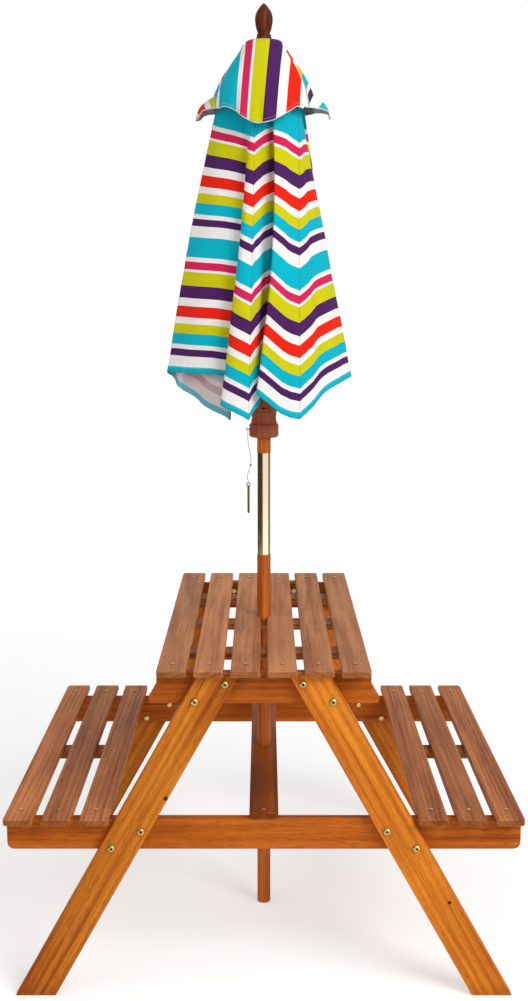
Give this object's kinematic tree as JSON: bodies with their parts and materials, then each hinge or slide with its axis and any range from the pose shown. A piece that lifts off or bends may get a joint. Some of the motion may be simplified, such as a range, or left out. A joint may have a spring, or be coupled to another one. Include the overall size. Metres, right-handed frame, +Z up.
{
  "type": "kids picnic table",
  "caption": "Slatted wooden children's picnic table with attached benches on splayed legs and a closed striped cloth parasol standing through its top.",
  "frame": {"origin": "on the ground at the middle of the table, under the parasol's pole", "axes": "+Z up; X runs across the two benches; Y runs along the slats, with the pictured side at -Y"},
  "size_m": [0.9, 0.79, 1.757],
  "materials": {
    "top_wood": "oiled hardwood, muted pinkish brown",
    "bench_wood": "oiled hardwood, brown",
    "leg_wood": "oiled hardwood, honey with darker streaks",
    "rail_wood": "oiled hardwood, orange brown",
    "pole_wood": "turned hardwood, satin",
    "turned_wood": "dark turned hardwood, satin",
    "sleeve_metal": "plated steel tube, pale brass tone",
    "canopy_cloth": "woven cloth in bright stripes",
    "cap_cloth": "woven cloth in bright stripes",
    "cord_fibre": "thin twisted cord",
    "pin_metal": "dull plated pin",
    "screw_metal": "yellow zinc plated bolt and screw heads"
  },
  "bodies": {
    "table": {"top_slat_1": "top_wood", "top_slat_2": "top_wood", "top_slat_3": "top_wood", "top_slat_4": "top_wood", "top_slat_5": "top_wood", "top_slat_6": "top_wood", "top_batten_1": "top_wood", "top_batten_2": "top_wood", "top_batten_3": "top_wood", "bench_left_slat_1": "bench_wood", "bench_left_slat_2": "bench_wood", "bench_left_slat_3": "bench_wood", "bench_batten_left": "bench_wood", "bench_right_slat_1": "bench_wood", "bench_right_slat_2": "bench_wood", "bench_right_slat_3": "bench_wood", "bench_batten_right": "bench_wood", "seat_rail_front": "rail_wood", "table_cleat_front": "rail_wood", "leg_front_left": "leg_wood", "leg_front_right": "leg_wood", "seat_rail_rear": "rail_wood", "table_cleat_rear": "rail_wood", "leg_rear_left": "leg_wood", "leg_rear_right": "leg_wood", "stretcher": "rail_wood"},
    "lower_pole": {"pole_lower": "pole_wood"},
    "sleeve": {"pole_sleeve": "sleeve_metal"},
    "upper_pole": {"pole_upper": "pole_wood", "top_hub": "turned_wood", "finial": "turned_wood", "canopy": "canopy_cloth", "canopy_cap": "cap_cloth"},
    "runner": {"runner": "turned_wood"},
    "rib_1": {"rib_1": "pole_wood"},
    "strut_1": {"strut_1": "pole_wood"},
    "rib_2": {"rib_2": "pole_wood"},
    "strut_2": {"strut_2": "pole_wood"},
    "rib_3": {"rib_3": "pole_wood"},
    "strut_3": {"strut_3": "pole_wood"},
    "rib_4": {"rib_4": "pole_wood"},
    "strut_4": {"strut_4": "pole_wood"},
    "rib_5": {"rib_5": "pole_wood"},
    "strut_5": {"strut_5": "pole_wood"},
    "rib_6": {"rib_6": "pole_wood"},
    "strut_6": {"strut_6": "pole_wood"},
    "rib_7": {"rib_7": "pole_wood"},
    "strut_7": {"strut_7": "pole_wood"},
    "rib_8": {"rib_8": "pole_wood"},
    "strut_8": {"strut_8": "pole_wood"},
    "lock_pin": {"pin_cord": "cord_fibre", "lock_pin": "pin_metal"}
  },
  "joints": [
    {"name": "parasol_lift", "type": "slide", "parent": "table", "child": "lower_pole", "axis": [0, 0, 1], "range_m": [0, 0.62]},
    {"name": "parasol_turn", "type": "hinge", "parent": "lower_pole", "child": "sleeve", "pos_m": [0, 0, 0.7233], "axis": [0, 0, 1], "continuous": true},
    {"name": "upper_pole_lift", "type": "slide", "parent": "sleeve", "child": "upper_pole", "axis": [0, 0, 1], "range_m": [0, 0.11]},
    {"name": "runner_slide", "type": "slide", "parent": "upper_pole", "child": "runner", "axis": [0, 0, 1], "range_m": [0, 0.4292], "deforming": ["canopy", "canopy_cap"]},
    {"name": "rib_1_swing", "type": "hinge", "parent": "upper_pole", "child": "rib_1", "pos_m": [-0.00648, -0.02259, 1.6731], "axis": [-0.9613, 0.2756, 0], "range_deg": [0, 65.17]},
    {"name": "strut_1_swing", "type": "hinge", "parent": "runner", "child": "strut_1", "pos_m": [0.00132, -0.02587, 1.01536], "axis": [0.9613, -0.2756, 0], "range_deg": [0, 64.84]},
    {"name": "rib_2_swing", "type": "hinge", "parent": "upper_pole", "child": "rib_2", "pos_m": [0.01139, -0.02055, 1.6731], "axis": [-0.8746, -0.4848, 0], "range_deg": [0, 65.17]},
    {"name": "strut_2_swing", "type": "hinge", "parent": "runner", "child": "strut_2", "pos_m": [0.01922, -0.01736, 1.01536], "axis": [0.8746, 0.4848, 0], "range_deg": [0, 64.84]},
    {"name": "rib_3_swing", "type": "hinge", "parent": "upper_pole", "child": "rib_3", "pos_m": [0.02259, -0.00648, 1.6731], "axis": [-0.2756, -0.9613, 0], "range_deg": [0, 65.17]},
    {"name": "strut_3_swing", "type": "hinge", "parent": "runner", "child": "strut_3", "pos_m": [0.02587, 0.00132, 1.01536], "axis": [0.2756, 0.9613, 0], "range_deg": [0, 64.84]},
    {"name": "rib_4_swing", "type": "hinge", "parent": "upper_pole", "child": "rib_4", "pos_m": [0.02055, 0.01139, 1.6731], "axis": [0.4848, -0.8746, 0], "range_deg": [0, 65.17]},
    {"name": "strut_4_swing", "type": "hinge", "parent": "runner", "child": "strut_4", "pos_m": [0.01736, 0.01922, 1.01536], "axis": [-0.4848, 0.8746, 0], "range_deg": [0, 64.84]},
    {"name": "rib_5_swing", "type": "hinge", "parent": "upper_pole", "child": "rib_5", "pos_m": [0.00648, 0.02259, 1.6731], "axis": [0.9613, -0.2756, 0], "range_deg": [0, 65.17]},
    {"name": "strut_5_swing", "type": "hinge", "parent": "runner", "child": "strut_5", "pos_m": [-0.00132, 0.02587, 1.01536], "axis": [-0.9613, 0.2756, 0], "range_deg": [0, 64.84]},
    {"name": "rib_6_swing", "type": "hinge", "parent": "upper_pole", "child": "rib_6", "pos_m": [-0.01139, 0.02055, 1.6731], "axis": [0.8746, 0.4848, 0], "range_deg": [0, 65.17]},
    {"name": "strut_6_swing", "type": "hinge", "parent": "runner", "child": "strut_6", "pos_m": [-0.01922, 0.01736, 1.01536], "axis": [-0.8746, -0.4848, 0], "range_deg": [0, 64.84]},
    {"name": "rib_7_swing", "type": "hinge", "parent": "upper_pole", "child": "rib_7", "pos_m": [-0.02259, 0.00648, 1.6731], "axis": [0.2756, 0.9613, 0], "range_deg": [0, 65.17]},
    {"name": "strut_7_swing", "type": "hinge", "parent": "runner", "child": "strut_7", "pos_m": [-0.02587, -0.00132, 1.01536], "axis": [-0.2756, -0.9613, 0], "range_deg": [0, 64.84]},
    {"name": "rib_8_swing", "type": "hinge", "parent": "upper_pole", "child": "rib_8", "pos_m": [-0.02055, -0.01139, 1.6731], "axis": [-0.4848, 0.8746, 0], "range_deg": [0, 65.17]},
    {"name": "strut_8_swing", "type": "hinge", "parent": "runner", "child": "strut_8", "pos_m": [-0.01736, -0.01922, 1.01536], "axis": [0.4848, -0.8746, 0], "range_deg": [0, 64.84]},
    {"name": "pin_swing", "type": "hinge", "parent": "runner", "child": "lock_pin", "pos_m": [-0.0308, 0, 0.96896], "axis": [1, 0, 0], "range_deg": [-60, 60]}
  ],
  "couplings": [
    {"joint": "rib_1_swing", "follows": "runner_slide", "rad_per_m": 2.65},
    {"joint": "strut_1_swing", "follows": "runner_slide", "rad_per_m": 2.6367},
    {"joint": "rib_2_swing", "follows": "runner_slide", "rad_per_m": 2.65},
    {"joint": "strut_2_swing", "follows": "runner_slide", "rad_per_m": 2.6367},
    {"joint": "rib_3_swing", "follows": "runner_slide", "rad_per_m": 2.65},
    {"joint": "strut_3_swing", "follows": "runner_slide", "rad_per_m": 2.6367},
    {"joint": "rib_4_swing", "follows": "runner_slide", "rad_per_m": 2.65},
    {"joint": "strut_4_swing", "follows": "runner_slide", "rad_per_m": 2.6367},
    {"joint": "rib_5_swing", "follows": "runner_slide", "rad_per_m": 2.65},
    {"joint": "strut_5_swing", "follows": "runner_slide", "rad_per_m": 2.6367},
    {"joint": "rib_6_swing", "follows": "runner_slide", "rad_per_m": 2.65},
    {"joint": "strut_6_swing", "follows": "runner_slide", "rad_per_m": 2.6367},
    {"joint": "rib_7_swing", "follows": "runner_slide", "rad_per_m": 2.65},
    {"joint": "strut_7_swing", "follows": "runner_slide", "rad_per_m": 2.6367},
    {"joint": "rib_8_swing", "follows": "runner_slide", "rad_per_m": 2.65},
    {"joint": "strut_8_swing", "follows": "runner_slide", "rad_per_m": 2.6367}
  ]
}
